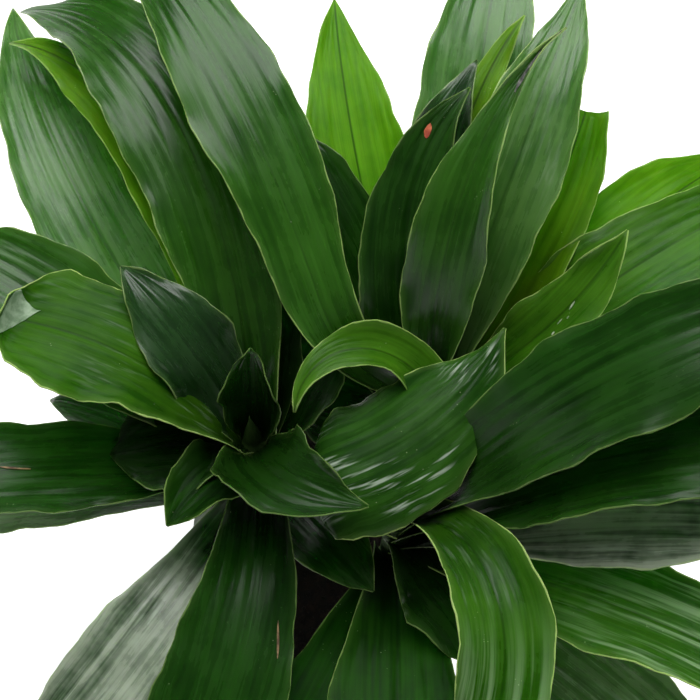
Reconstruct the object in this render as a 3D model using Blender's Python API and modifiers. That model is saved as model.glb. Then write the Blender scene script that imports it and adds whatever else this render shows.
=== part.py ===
"""Potted dracaena: three leafy heads on short woody canes, in a plain tapered pot filled with soil.

Lengths are in metres and angles in degrees. +Z is up, the pot stands on Z = 0 with its centre on the Z
axis, and -Y is the front, which the plant is seen from.
"""

import math
from collections import namedtuple

import bmesh
import bpy
import numpy as np
from mathutils import Vector, noise

# Gap between pieces that rest on or in each other.
GAP = 0.0003

# Pot
POT_HEIGHT = 0.180
POT_TOP_RADIUS = 0.104
POT_BASE_RADIUS = 0.076
POT_WALL = 0.006
POT_FLOOR = 0.008
RIM_HEIGHT = 0.022
RIM_STEP = 0.003
POT_ROUNDING = 0.0015
DRAIN_RADIUS = 0.006
DRAIN_CIRCLE = 0.042
DRAIN_COUNT = 3
SHARP_ANGLE = 40.0
POT_SEGMENTS = 44

# How far a cutter reaches past the face that it opens
CUTTER_REACH = 0.02

# Soil
SOIL_LEVEL = 0.158
SOIL_CROWN = 0.004
SOIL_CRUMB = 0.0022
CRUMBS_PER_METRE = 90.0
SOIL_CHAMFER = 0.00225
SOIL_RINGS = 7

# Canes and the green stems above them
CANE_FOOT = 0.095
CANE_RADIUS = 0.0105
SCAR_STEP = 0.0008
SCAR_PITCH = 0.010
STEM_FOOT = 0.204
STEM_TOP = 0.284
STEM_FOOT_RADIUS = 0.0110
STEM_TOP_RADIUS = 0.0070
STEM_SEGMENTS = 18

# Leaves
LOWEST_ROOT = 0.215
ROOT_OFFSET = 0.0045
BLADE_THICKNESS = 0.0009
NARROW_BASE = 0.46
WIDEST_AT = 0.5
TAPER = 1.05
TIP_WIDTH = 0.0013
BASE_CUP = 80.0
BASE_CUP_END = 0.35
BLADE_CUP = 16.0
SWERVE_POWER = 1.2
TURN_END = 0.3
EDGE_WAVE = 0.0036
WAVES = 2.5
WAVE_START = (0.1, 0.4)
WAVE_END = (0.9, 1.0)
WAVE_POWER = 2.5
FAR_EDGE_PHASE = 1.3
PHASE_PER_RISE = 2000.0
MIDRIB_STEPS = 60
ROW_LENGTH = 0.045
FEWEST_ROWS = 5
CURL_ROWS = 3
STRONG_SWERVE = 100.0
COLUMNS = 4

# One leaf. Its root stands rise above the head's lowest root. From there it sets off at azimuth, counted
# from +X seen from above, and at launch above the horizontal. It bends down by arch on the way to its tip,
# the later the larger power is, and sideways by swerve, or by turn near its root. curl is (angle, start,
# end): a bend upward between two places along the blade. cup is half the angle of the arc across the blade,
# tip_cup the same at the tip, widest is where the blade is widest, taper is how early it narrows from there,
# and cut is where it ends if its tip is gone.
Leaf = namedtuple(
    "Leaf",
    "rise azimuth launch arch length width swerve turn curl power cup tip_cup widest taper cut",
    defaults=(0.0, 0.0, None, 1.25, BLADE_CUP, None, WIDEST_AT, TAPER, 1.0),
)

FRONT_LEAVES = (
    Leaf(0.063, -38, 60, 160, 0.235, 0.048, swerve=-112, cup=30),
    Leaf(0.054, 10, 60, 70, 0.295, 0.070, power=2.0),
    Leaf(
        0.050, 168, 30, 0, 0.210, 0.085, swerve=74,
        curl=(136, 0.16, 0.45), cup=38, tip_cup=30, taper=1.3,
    ),
    Leaf(0.041, -5, 55, 72, 0.290, 0.065, power=2.0),
    Leaf(0.034, -55, 28, 50, 0.102, 0.062),
    Leaf(0.030, 20, 48, 87, 0.208, 0.034, swerve=224, turn=18, power=3.0, cup=35),
    Leaf(0.027, -12, 45, 66, 0.290, 0.063, power=2.0),
    Leaf(0.018, -31, 38, 66, 0.280, 0.058, power=2.0),
    Leaf(0.009, -92, 34, 85, 0.280, 0.079),
    Leaf(0.004, -42, 24, 60, 0.290, 0.067),
    Leaf(0.000, -115, 22, 76, 0.280, 0.059),
)

LEFT_LEAVES = (
    Leaf(0.067, 188, 22, 40, 0.080, 0.074, cup=25),
    Leaf(0.063, 160, 60, 78, 0.180, 0.074, swerve=8, cup=10, curl=(130, 0.82, 0.97), widest=0.7),
    Leaf(0.063, -85, 60, 72, 0.118, 0.056, swerve=85, cup=40, widest=0.36),
    Leaf(0.061, 80, 84, 10, 0.080, 0.041, cup=60),
    Leaf(0.059, 135, 66, 60, 0.135, 0.052),
    Leaf(0.054, 235, 50, 60, 0.080, 0.045, cup=40),
    Leaf(0.045, 93, 56, 88, 0.390, 0.076, swerve=56),
    Leaf(0.040, 101, 52, 76, 0.355, 0.050, swerve=46),
    Leaf(0.036, 62, 38, 40, 0.110, 0.056),
    Leaf(0.036, -84, 28, 82, 0.285, 0.080, swerve=-54, power=0.9, widest=0.66),
    Leaf(0.032, 86, 50, 50, 0.130, 0.048),
    Leaf(0.030, -50, 26, 40, 0.108, 0.050),
    Leaf(0.027, 193, 32, 60, 0.270, 0.059, power=2.0),
    Leaf(0.024, 152, 46, 76, 0.280, 0.068, power=2.0),
    Leaf(0.020, 133, 34, 40, 0.385, 0.067, swerve=-28),
    Leaf(0.013, -115, 15, 56, 0.290, 0.062, swerve=-26),
    Leaf(0.013, 148, 40, 74, 0.280, 0.063, power=2.0),
    Leaf(0.007, 160, 30, 62, 0.150, 0.050, power=2.0),
    Leaf(0.004, 182, 12, 46, 0.280, 0.056),
)

BACK_LEAVES = (
    Leaf(0.066, 192, 48, 56, 0.365, 0.062, swerve=14, turn=-82, widest=0.62),
    Leaf(0.059, 88, 80, 75, 0.250, 0.044, swerve=-45, tip_cup=75, widest=0.36, taper=2.2),
    Leaf(0.056, 5, 45, 15, 0.160, 0.041, swerve=50),
    Leaf(0.047, 122, 70, 50, 0.210, 0.054, swerve=-80, widest=0.42),
    Leaf(0.045, 62, 58, 55, 0.290, 0.058, swerve=8),
    Leaf(0.041, 104, 65, 45, 0.225, 0.050, swerve=-48),
    Leaf(0.036, 122, 55, 50, 0.225, 0.054),
    Leaf(0.036, 92, 60, 50, 0.265, 0.032, swerve=-38),
    Leaf(0.032, 46, 45, 35, 0.260, 0.054, swerve=30, cut=0.85),
    Leaf(0.027, 110, 38, 25, 0.290, 0.068, swerve=-16),
    Leaf(0.022, 79, 50, 66, 0.360, 0.072, power=2.0),
    Leaf(0.022, 25, 45, 66, 0.290, 0.068, power=2.0),
    Leaf(0.013, 37, 40, 62, 0.295, 0.067, power=2.0),
    Leaf(0.013, 130, 35, 45, 0.360, 0.059),
    Leaf(0.006, 172, 40, 40, 0.095, 0.066),
    Leaf(0.004, 60, 24, 75, 0.270, 0.060),
    Leaf(0.002, 97, 26, 75, 0.280, 0.060),
    Leaf(0.000, 4, 22, 70, 0.270, 0.060),
)

# Each head's name, the X and Y of its cane, and its leaves from the top down.
HEADS = (
    ("front", (0.029, -0.034), FRONT_LEAVES),
    ("left", (-0.056, 0.010), LEFT_LEAVES),
    ("back", (0.047, 0.040), BACK_LEAVES),
)


def smooth(low, high, value):
    """0 below low and 1 above high, with an easy curve between them."""
    t = np.clip((value - low) / (high - low), 0.0, 1.0)
    return t * t * (3.0 - 2.0 * t)


def blade_width(leaf, along):
    """Full width of the blade at each place along it, 0 at the root and 1 at the tip."""
    opening = NARROW_BASE + (1.0 - NARROW_BASE) * smooth(0.02, leaf.widest + 0.02, along)
    taper = np.clip((along - leaf.widest) / (1.0 - leaf.widest), 0.0, 1.0)
    return leaf.width * opening * (1.0 - taper**2) ** leaf.taper + TIP_WIDTH


def midrib(leaf, foot):
    """Places along the midrib, its points, and the directions across the blade and up from it."""
    along = np.linspace(0.0, leaf.cut, MIDRIB_STEPS + 1)
    pitch = leaf.launch - leaf.arch * along**leaf.power
    if leaf.curl:
        angle, start, end = leaf.curl
        pitch = pitch + angle * smooth(start, end, along)
    heading = leaf.azimuth + leaf.swerve * along**SWERVE_POWER + leaf.turn * smooth(0.0, TURN_END, along)
    pitch, heading = np.radians(pitch), np.radians(heading)
    level = np.stack([np.cos(heading), np.sin(heading), np.zeros_like(heading)], axis=1)
    upright = np.array([0.0, 0.0, 1.0])
    forward = np.cos(pitch)[:, None] * level + np.sin(pitch)[:, None] * upright
    above = np.cos(pitch)[:, None] * upright - np.sin(pitch)[:, None] * level
    side = np.cross(above, forward)
    step = leaf.length * leaf.cut / MIDRIB_STEPS
    travelled = np.cumsum((forward[1:] + forward[:-1]) / 2.0 * step, axis=0)
    root = np.array([foot[0], foot[1], LOWEST_ROOT + leaf.rise]) + ROOT_OFFSET * level[0]
    points = root + np.vstack([np.zeros(3), travelled])
    return along, points, side, above


def blade_points(leaf, foot, along, across):
    """Points of the blade: along runs from 0 at the root to 1 at the end, and across from -1 to 1."""
    places, points, side, above = midrib(leaf, foot)
    along = along * leaf.cut
    centre = np.stack([np.interp(along, places, points[:, i]) for i in range(3)], axis=1)
    side = np.stack([np.interp(along, places, side[:, i]) for i in range(3)], axis=1)
    above = np.stack([np.interp(along, places, above[:, i]) for i in range(3)], axis=1)
    tip_cup = leaf.cup if leaf.tip_cup is None else leaf.tip_cup
    cup = leaf.cup + (BASE_CUP - leaf.cup) * (1.0 - smooth(0.0, BASE_CUP_END, along))
    cup = np.radians(cup + (tip_cup - leaf.cup) * smooth(WIDEST_AT, 1.0, along))
    radius = blade_width(leaf, along) / 2.0 / cup
    sideways = radius * np.sin(cup * across)
    lift = radius * (1.0 - np.cos(cup * across))
    reach = smooth(*WAVE_START, along) * (1.0 - smooth(*WAVE_END, along))
    phase = np.where(across > 0.0, FAR_EDGE_PHASE, 0.0) + PHASE_PER_RISE * leaf.rise
    ripple = np.sin(2.0 * math.pi * WAVES * along + phase)
    lift = lift + EDGE_WAVE * reach * np.abs(across) ** WAVE_POWER * ripple
    return centre + sideways[:, None] * side + lift[:, None] * above


def clear_scene():
    for item in list(bpy.data.objects):
        bpy.data.objects.remove(item, do_unlink=True)


def new_collection(name):
    collection = bpy.data.collections.new(name)
    bpy.context.scene.collection.children.link(collection)
    return collection


def new_material(name, colour, roughness):
    material = bpy.data.materials.new(name)
    material.use_nodes = True
    shader = material.node_tree.nodes["Principled BSDF"]
    shader.inputs["Base Color"].default_value = (*colour, 1.0)
    shader.inputs["Roughness"].default_value = roughness
    return material


def mesh_object(name, shape, collection):
    """Turns a bmesh into an object of a collection."""
    mesh = bpy.data.meshes.new(name)
    shape.to_mesh(mesh)
    shape.free()
    item = bpy.data.objects.new(name, mesh)
    collection.objects.link(item)
    return item


def apply_modifiers(item):
    depsgraph = bpy.context.evaluated_depsgraph_get()
    mesh = bpy.data.meshes.new_from_object(item.evaluated_get(depsgraph))
    item.modifiers.clear()
    item.data = mesh


def turned(name, profile, segments, collection):
    """Turns a profile of (radius, height) points round the Z axis."""
    mesh = bpy.data.meshes.new(name)
    points = [(radius, 0.0, height) for radius, height in profile]
    mesh.from_pydata(points, [(i, i + 1) for i in range(len(points) - 1)], [])
    item = bpy.data.objects.new(name, mesh)
    collection.objects.link(item)
    screw = item.modifiers.new("Turn", "SCREW")
    screw.steps = segments
    screw.render_steps = segments
    screw.use_merge_vertices = True
    screw.merge_threshold = 0.0001
    screw.use_smooth_shade = True
    return item


def cylinder_cutter(name, radius, bottom, top, place, cutters):
    shape = bmesh.new()
    bmesh.ops.create_cone(
        shape, cap_ends=True, segments=STEM_SEGMENTS, radius1=radius, radius2=radius, depth=top - bottom
    )
    bmesh.ops.translate(shape, verts=shape.verts, vec=(place[0], place[1], (top + bottom) / 2.0))
    cutter = mesh_object(name, shape, cutters)
    cutter.hide_render = True
    cutter.display_type = "WIRE"
    return cutter


def cut(item, cutter):
    modifier = item.modifiers.new("Cut " + cutter.name, "BOOLEAN")
    modifier.operation = "DIFFERENCE"
    modifier.solver = "EXACT"
    modifier.object = cutter


def inner_radius(height):
    """Radius of the pot's inner wall at a height."""
    outer = POT_BASE_RADIUS + (POT_TOP_RADIUS - RIM_STEP - POT_BASE_RADIUS) * height / POT_HEIGHT
    return outer - POT_WALL


def make_pot(collection, cutters):
    """A tapered pot with a stepped rim, and drain holes round the middle of its floor."""
    under_rim = POT_HEIGHT - RIM_HEIGHT
    profile = [
        (0.0, POT_FLOOR),
        (inner_radius(POT_FLOOR), POT_FLOOR),
        (inner_radius(POT_HEIGHT), POT_HEIGHT),
        (POT_TOP_RADIUS, POT_HEIGHT),
        (inner_radius(under_rim) + POT_WALL + RIM_STEP, under_rim),
        (inner_radius(under_rim) + POT_WALL, under_rim - RIM_STEP / 2.0),
        (POT_BASE_RADIUS, 0.0),
        (0.0, 0.0),
    ]
    pot = turned("pot", profile, POT_SEGMENTS, collection)
    rounding = pot.modifiers.new("Rounding", "BEVEL")
    rounding.width = POT_ROUNDING
    rounding.segments = 2
    rounding.limit_method = "ANGLE"
    rounding.angle_limit = math.radians(SHARP_ANGLE)
    for i in range(DRAIN_COUNT):
        angle = 2.0 * math.pi * i / DRAIN_COUNT
        place = (DRAIN_CIRCLE * math.cos(angle), DRAIN_CIRCLE * math.sin(angle))
        drain = cylinder_cutter(
            "drain_cutter", DRAIN_RADIUS, -CUTTER_REACH, POT_FLOOR + CUTTER_REACH, place, cutters
        )
        cut(pot, drain)
    pot.data.materials.append(new_material("white_glaze", (0.86, 0.86, 0.84), 0.25))


def make_soil(collection, cutters):
    """Soil that fills the pot, with a low crown and crumbs on top and a plain hole for each cane."""
    bottom = POT_FLOOR + GAP
    edge = inner_radius(SOIL_LEVEL) - GAP
    profile = []
    for i in range(SOIL_RINGS + 1):
        part = i / SOIL_RINGS
        profile.append((edge * part, SOIL_LEVEL + SOIL_CROWN * (1.0 - part**2)))
    profile.append((inner_radius(bottom + SOIL_CHAMFER) - GAP, bottom + SOIL_CHAMFER))
    profile.append((inner_radius(bottom) - GAP - SOIL_CHAMFER, bottom))
    profile.append((0.0, bottom))
    soil = turned("soil", profile, POT_SEGMENTS, collection)
    apply_modifiers(soil)
    for vertex in soil.data.vertices:
        if vertex.co.z > SOIL_LEVEL + SOIL_CROWN * 0.1:
            vertex.co.z += SOIL_CRUMB * noise.noise(vertex.co * CRUMBS_PER_METRE)
    for name, foot, _leaves in HEADS:
        top = SOIL_LEVEL + CUTTER_REACH
        hole = cylinder_cutter("hole_cutter_" + name, CANE_RADIUS + GAP, CANE_FOOT - GAP, top, foot, cutters)
        cut(soil, hole)
    soil.data.materials.append(new_material("soil", (0.035, 0.022, 0.014), 0.95))


def make_cane(name, foot, collection):
    """A woody cane with a low ring at each old leaf scar. Its top ends just under the green stem."""
    top = STEM_FOOT - GAP
    profile = [(0.0, top), (CANE_RADIUS, top)]
    height = top - SCAR_PITCH
    while height > SOIL_LEVEL + SOIL_CROWN + SCAR_PITCH:
        profile.append((CANE_RADIUS, height + SCAR_PITCH * 0.2))
        profile.append((CANE_RADIUS + SCAR_STEP, height))
        profile.append((CANE_RADIUS, height - SCAR_PITCH * 0.1))
        height -= SCAR_PITCH
    profile += [(CANE_RADIUS, CANE_FOOT), (0.0, CANE_FOOT)]
    cane = turned("cane_" + name, profile, STEM_SEGMENTS, collection)
    cane.location = (foot[0], foot[1], 0.0)
    cane.data.materials.append(new_material("bark_" + name, (0.22, 0.15, 0.09), 0.8))


def keep_main_body(item):
    """Fills the hollows that joining sealed and drops loose scraps: only the largest body's skin stays."""
    shape = bmesh.new()
    shape.from_mesh(item.data)
    unseen = set(shape.verts)
    bodies = []
    while unseen:
        body = [unseen.pop()]
        for vertex in body:
            for edge in vertex.link_edges:
                other = edge.other_vert(vertex)
                if other in unseen:
                    unseen.remove(other)
                    body.append(other)
        bodies.append(body)
    bodies.sort(key=len)
    for body in bodies[:-1]:
        bmesh.ops.delete(shape, geom=body, context="VERTS")
    shape.to_mesh(item.data)
    shape.free()


def make_leaf(name, leaf, foot, collection):
    """One blade: a grid bent by the leaf's formula, split alike on both faces, and given its thickness."""
    rows = max(FEWEST_ROWS, round(leaf.length / ROW_LENGTH) + 1)
    if leaf.curl or abs(leaf.swerve) > STRONG_SWERVE:
        rows += CURL_ROWS
    shape = bmesh.new()
    bmesh.ops.create_grid(shape, x_segments=rows, y_segments=COLUMNS, size=1.0)
    vertices = list(shape.verts)
    along = np.array([(vertex.co.x + 1.0) / 2.0 for vertex in vertices])
    across = np.array([vertex.co.y for vertex in vertices])
    for vertex, point in zip(vertices, blade_points(leaf, foot, along, across)):
        vertex.co = Vector(point)
    bmesh.ops.triangulate(shape, faces=shape.faces)
    item = mesh_object(name, shape, collection)
    thickness = item.modifiers.new("Thickness", "SOLIDIFY")
    thickness.thickness = BLADE_THICKNESS
    thickness.offset = 0.0
    return item


def make_head(name, foot, leaves, collection):
    """A green stem with its leaves, joined as the one piece that they grew as."""
    shape = bmesh.new()
    bmesh.ops.create_cone(
        shape,
        cap_ends=True,
        segments=STEM_SEGMENTS,
        radius1=STEM_FOOT_RADIUS,
        radius2=STEM_TOP_RADIUS,
        depth=STEM_TOP - STEM_FOOT,
    )
    bmesh.ops.translate(shape, verts=shape.verts, vec=(foot[0], foot[1], (STEM_TOP + STEM_FOOT) / 2.0))
    head = mesh_object("head_" + name, shape, collection)
    blades = new_collection("blades_" + name)
    for number, leaf in enumerate(leaves, start=1):
        make_leaf("leaf_%s_%02d" % (name, number), leaf, foot, blades)
    union = head.modifiers.new("Grown together", "BOOLEAN")
    union.operation = "UNION"
    union.solver = "EXACT"
    union.operand_type = "COLLECTION"
    union.collection = blades
    apply_modifiers(head)
    for item in list(blades.objects):
        bpy.data.objects.remove(item, do_unlink=True)
    bpy.data.collections.remove(blades)
    keep_main_body(head)
    head.data.shade_smooth()
    head.data.materials.append(new_material("leaf_" + name, (0.06, 0.17, 0.035), 0.35))


def main():
    clear_scene()
    plant = new_collection("potted_dracaena")
    cutters = new_collection("cutters")
    make_pot(plant, cutters)
    make_soil(plant, cutters)
    for name, foot, leaves in HEADS:
        make_cane(name, foot, plant)
        make_head(name, foot, leaves, plant)


main()
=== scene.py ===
"""Potted dracaena: the finish of its leaves, stems, canes, soil and pot, with the studio it stands in.

Lengths are in metres. The pot stands on Z = 0 round the Z axis, and -Y is the front.
"""

import math
from collections import namedtuple

import bmesh
import bpy
import numpy as np
from mathutils import Matrix, Vector, noise


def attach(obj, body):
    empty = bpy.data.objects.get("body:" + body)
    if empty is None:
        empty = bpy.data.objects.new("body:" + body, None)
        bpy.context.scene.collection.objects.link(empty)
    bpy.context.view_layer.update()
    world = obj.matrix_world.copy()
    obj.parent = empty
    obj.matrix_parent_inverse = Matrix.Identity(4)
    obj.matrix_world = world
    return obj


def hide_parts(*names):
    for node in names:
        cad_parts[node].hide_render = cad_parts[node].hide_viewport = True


bl_info = {
    "name": "Potted Dracaena",
    "version": (1, 0, 0),
    "blender": (4, 5, 0),
    "location": "View3D > Sidebar > Dracaena",
    "description": "Builds a potted dracaena with three leafy heads, and a studio to show it in",
    "category": "Add Mesh",
}

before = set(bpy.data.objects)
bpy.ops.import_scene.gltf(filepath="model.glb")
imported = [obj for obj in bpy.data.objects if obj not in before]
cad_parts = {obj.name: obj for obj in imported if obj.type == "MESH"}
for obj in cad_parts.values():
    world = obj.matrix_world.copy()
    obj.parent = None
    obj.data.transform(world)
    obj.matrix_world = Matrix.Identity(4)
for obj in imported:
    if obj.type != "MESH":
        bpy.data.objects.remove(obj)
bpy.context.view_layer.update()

# Gap between pieces that rest on or in each other
GAP = 0.0003

# Pot, besides the sizes in its settings
POT_FLOOR = 0.008
RIM_HEIGHT = 0.022
RIM_STEP = 0.003
POT_ROUNDING = 0.0016
ROUNDING_STEPS = 3
DRAIN_RADIUS = 0.006
DRAIN_CIRCLE = 0.042
DRAIN_COUNT = 3
DRAIN_SIDES = 36
POT_STEPS = 132
SHARP_ANGLE = 50.0

# Points of a turned shape that lie closer than this become one.
MERGE_DISTANCE = 0.00005

# Soil, with its lumps, and the crumbs that lie on it
SOIL_LEVEL = 0.158
SOIL_CROWN = 0.004
SOIL_CHAMFER = 0.003
SOIL_RINGS = 34
SOIL_STEPS = 120
LUMP_HEIGHT = 0.0024
LUMPS_PER_METRE = 90.0
FINE_LUMP_HEIGHT = 0.0014
FINE_LUMPS_PER_METRE = 260.0
CRUMB_COUNT = 420
CRUMB_RADIUS = 0.0016
CRUMB_SPREAD = 0.0013
CRUMB_EDGE = 0.006
CRUMB_GAP = 0.014
CRUMB_SHIFTS = (0.37, 11.71, 23.19)
GOLDEN_ANGLE = 2.399963

# Canes and the green stems above them. A scar's outline is given as steps outwards and upwards from its ring.
CANE_FOOT = 0.095
CANE_RADIUS = 0.0105
CANE_ROUGHNESS = 0.0006
SCAR_PITCH = 0.010
SCAR_DRIFT = 0.0012
CANE_SCAR = ((-0.0002, 0.0030), (0.0002, 0.0012), (0.0008, 0.0), (0.0003, -0.0007), (-0.0003, -0.0013))
STEM_FOOT = 0.204
STEM_TOP = 0.284
STEM_FOOT_RADIUS = 0.0110
STEM_TOP_RADIUS = 0.0070
STEM_STEPS = 40
STEM_SCARS = 16
STEM_SCAR = ((-0.0002, 0.0012), (0.0, 0.0), (-0.0008, -0.0010))
SPEAR_HEIGHT = 0.030
SPEAR_RADIUS = 0.0055
SPEAR_STEPS = 8

# Leaves
LOWEST_ROOT = 0.215
ROOT_OFFSET = 0.0045
NARROW_BASE = 0.46
WIDEST_AT = 0.5
TAPER = 1.05
TIP_WIDTH = 0.0013
BASE_CUP = 80.0
BASE_CUP_END = 0.35
BLADE_CUP = 16.0
SWERVE_POWER = 1.2
TURN_END = 0.3
EDGE_WAVE = 0.0036
WAVES = 2.5
WAVE_START = (0.1, 0.4)
WAVE_END = (0.9, 1.0)
WAVE_POWER = 2.5
FAR_EDGE_PHASE = 1.3
PHASE_PER_RISE = 2000.0
MIDRIB_STEPS = 120
ROW_LENGTH = 0.005
FEWEST_ROWS = 18
CURL_ROWS = 1.5
COLUMNS = 52
EDGE_CROWDING = 1.15
USUAL_WIDTH = 0.065
GROOVE_WIDTH = 0.0015

# One leaf. Its root stands rise above the head's lowest root. From there it sets off at azimuth, counted
# from +X seen from above, and at launch above the horizontal. It bends down by arch on the way to its tip,
# the later the larger power is, and sideways by swerve, or by turn near its root. curl is (angle, start,
# end): a bend upward between two places along the blade. cup is half the angle of the arc across the blade,
# tip_cup the same at the tip, widest is where the blade is widest, taper is how early it narrows from there,
# and cut is where it ends if its tip is gone.
Leaf = namedtuple(
    "Leaf",
    "rise azimuth launch arch length width finish swerve turn curl power cup tip_cup widest taper cut",
    defaults=(0.0, 0.0, None, 1.25, BLADE_CUP, None, WIDEST_AT, TAPER, 1.0),
)

FRONT_LEAVES = (
    Leaf(0.063, -38, 60, 160, 0.235, 0.048, "sheen_streaked", swerve=-112, cup=30),
    Leaf(0.054, 10, 60, 70, 0.295, 0.070, "deep", power=2.0),
    Leaf(
        0.050, 168, 30, 0, 0.210, 0.085, "under", swerve=74,
        curl=(136, 0.16, 0.45), cup=38, tip_cup=30, taper=1.3,
    ),
    Leaf(0.041, -5, 55, 72, 0.290, 0.065, "deep", power=2.0),
    Leaf(0.034, -55, 28, 50, 0.102, 0.062, "deep"),
    Leaf(0.030, 20, 48, 87, 0.208, 0.034, "fresh", swerve=224, turn=18, power=3.0, cup=35),
    Leaf(0.027, -12, 45, 66, 0.290, 0.063, "silver_sheen", power=2.0),
    Leaf(0.018, -31, 38, 66, 0.280, 0.058, "sheen_streaked", power=2.0),
    Leaf(0.009, -92, 34, 85, 0.280, 0.079, "dull"),
    Leaf(0.004, -42, 24, 60, 0.290, 0.067, "sheen"),
    Leaf(0.000, -115, 22, 76, 0.280, 0.059, "dull"),
)

LEFT_LEAVES = (
    Leaf(0.067, 188, 22, 40, 0.080, 0.074, "deep", cup=25),
    Leaf(0.063, 160, 60, 78, 0.180, 0.074, "green", swerve=8, cup=10, curl=(130, 0.82, 0.97), widest=0.7),
    Leaf(0.063, -85, 60, 72, 0.118, 0.056, "deep", swerve=85, cup=40, widest=0.36),
    Leaf(0.061, 80, 84, 10, 0.080, 0.041, "deep", cup=60),
    Leaf(0.059, 135, 66, 60, 0.135, 0.052, "blue"),
    Leaf(0.054, 235, 50, 60, 0.080, 0.045, "dull", cup=40),
    Leaf(0.045, 93, 56, 88, 0.390, 0.076, "mid", swerve=56),
    Leaf(0.040, 101, 52, 76, 0.355, 0.050, "lit", swerve=46),
    Leaf(0.036, 62, 38, 40, 0.110, 0.056, "deep"),
    Leaf(0.036, -84, 28, 82, 0.285, 0.080, "deep", swerve=-54, power=0.9, widest=0.66),
    Leaf(0.032, 86, 50, 50, 0.130, 0.048, "deep"),
    Leaf(0.030, -50, 26, 40, 0.108, 0.050, "deep"),
    Leaf(0.027, 193, 32, 60, 0.270, 0.059, "deep", power=2.0),
    Leaf(0.024, 152, 46, 76, 0.280, 0.068, "mid", power=2.0),
    Leaf(0.020, 133, 34, 40, 0.385, 0.067, "pale", swerve=-28),
    Leaf(0.013, -115, 15, 56, 0.290, 0.062, "silver_sheen", swerve=-26),
    Leaf(0.013, 148, 40, 74, 0.280, 0.063, "mid", power=2.0),
    Leaf(0.007, 160, 30, 62, 0.150, 0.050, "mid", power=2.0),
    Leaf(0.004, 182, 12, 46, 0.280, 0.056, "sheen"),
)

BACK_LEAVES = (
    Leaf(0.066, 192, 48, 56, 0.365, 0.062, "mid", swerve=14, turn=-82, widest=0.62),
    Leaf(0.059, 88, 80, 75, 0.250, 0.044, "mid", swerve=-45, tip_cup=75, widest=0.36, taper=2.2),
    Leaf(0.056, 5, 45, 15, 0.160, 0.041, "fresh", swerve=50),
    Leaf(0.047, 122, 70, 50, 0.210, 0.054, "deep", swerve=-80, widest=0.42),
    Leaf(0.045, 62, 58, 55, 0.290, 0.058, "pale", swerve=8),
    Leaf(0.041, 104, 65, 45, 0.225, 0.050, "blue", swerve=-48),
    Leaf(0.036, 122, 55, 50, 0.225, 0.054, "deep"),
    Leaf(0.036, 92, 60, 50, 0.265, 0.032, "lit", swerve=-38),
    Leaf(0.032, 46, 45, 35, 0.260, 0.054, "lit", swerve=30, cut=0.85),
    Leaf(0.027, 110, 38, 25, 0.290, 0.068, "lit", swerve=-16),
    Leaf(0.022, 79, 50, 66, 0.360, 0.072, "pale", power=2.0),
    Leaf(0.022, 25, 45, 66, 0.290, 0.068, "fresh", power=2.0),
    Leaf(0.013, 37, 40, 62, 0.295, 0.067, "lit", power=2.0),
    Leaf(0.013, 130, 35, 45, 0.360, 0.059, "mid"),
    Leaf(0.006, 172, 40, 40, 0.095, 0.066, "deep"),
    Leaf(0.004, 60, 24, 75, 0.270, 0.060, "mid"),
    Leaf(0.002, 97, 26, 75, 0.280, 0.060, "mid"),
    Leaf(0.000, 4, 22, 70, 0.270, 0.060, "mid"),
)

# Each head's name, the X and Y of its cane, and its leaves from the top down
HEADS = {
    "front": ((0.029, -0.034), FRONT_LEAVES),
    "left": ((-0.056, 0.010), LEFT_LEAVES),
    "back": ((0.047, 0.040), BACK_LEAVES),
}

# A mark on one blade: its kind, the head and the leaf's number, where it starts and ends along and across the
# blade, and its width in metres. It is a grid that lies just above the blade and keeps inside the margin.
MARK_LIFT = 0.0004
MARK_ROWS = 24
MARK_COLUMNS = 10
MARK_REACH = 0.97
Mark = namedtuple("Mark", "kind head number start end width")
MARKS = (
    Mark("scratch", "back", 12, (0.420, -0.67), (0.520, -0.67), 0.0010),
    Mark("scratch", "left", 10, (0.350, 0.67), (0.415, 0.73), 0.0012),
    Mark("scratch", "left", 13, (0.500, 0.03), (0.560, -0.07), 0.0012),
    Mark("red_spot", "back", 4, (0.822, 0.25), (0.860, 0.52), 0.0042),
    Mark("fleck", "back", 3, (0.590, -0.17), (0.616, -0.14), 0.0007),
    Mark("fleck", "back", 3, (0.628, -0.26), (0.640, -0.24), 0.0006),
    Mark("fleck", "back", 3, (0.655, -0.10), (0.690, -0.05), 0.0007),
    Mark("fleck", "back", 3, (0.552, -0.30), (0.566, -0.28), 0.0009),
    Mark("dry", "back", 2, (0.800, -0.45), (0.985, -0.30), 0.0028),
    Mark("scratch", "back", 7, (0.362, 0.40), (0.374, 0.46), 0.0014),
    Mark("folded_tip", "left", 2, (0.950, 0.05), (0.815, -0.25), 0.0280),
)
MARK_COLOURS = {
    "scratch": ((0.075, 0.040, 0.018), (0.26, 0.17, 0.075)),
    "red_spot": ((0.28, 0.040, 0.016), (0.55, 0.14, 0.055)),
    "fleck": ((0.16, 0.24, 0.12), (0.45, 0.52, 0.36)),
    "dry": ((0.030, 0.034, 0.028), (0.15, 0.15, 0.135)),
    "folded_tip": ((0.17, 0.27, 0.15), (0.30, 0.41, 0.27)),
}
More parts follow.
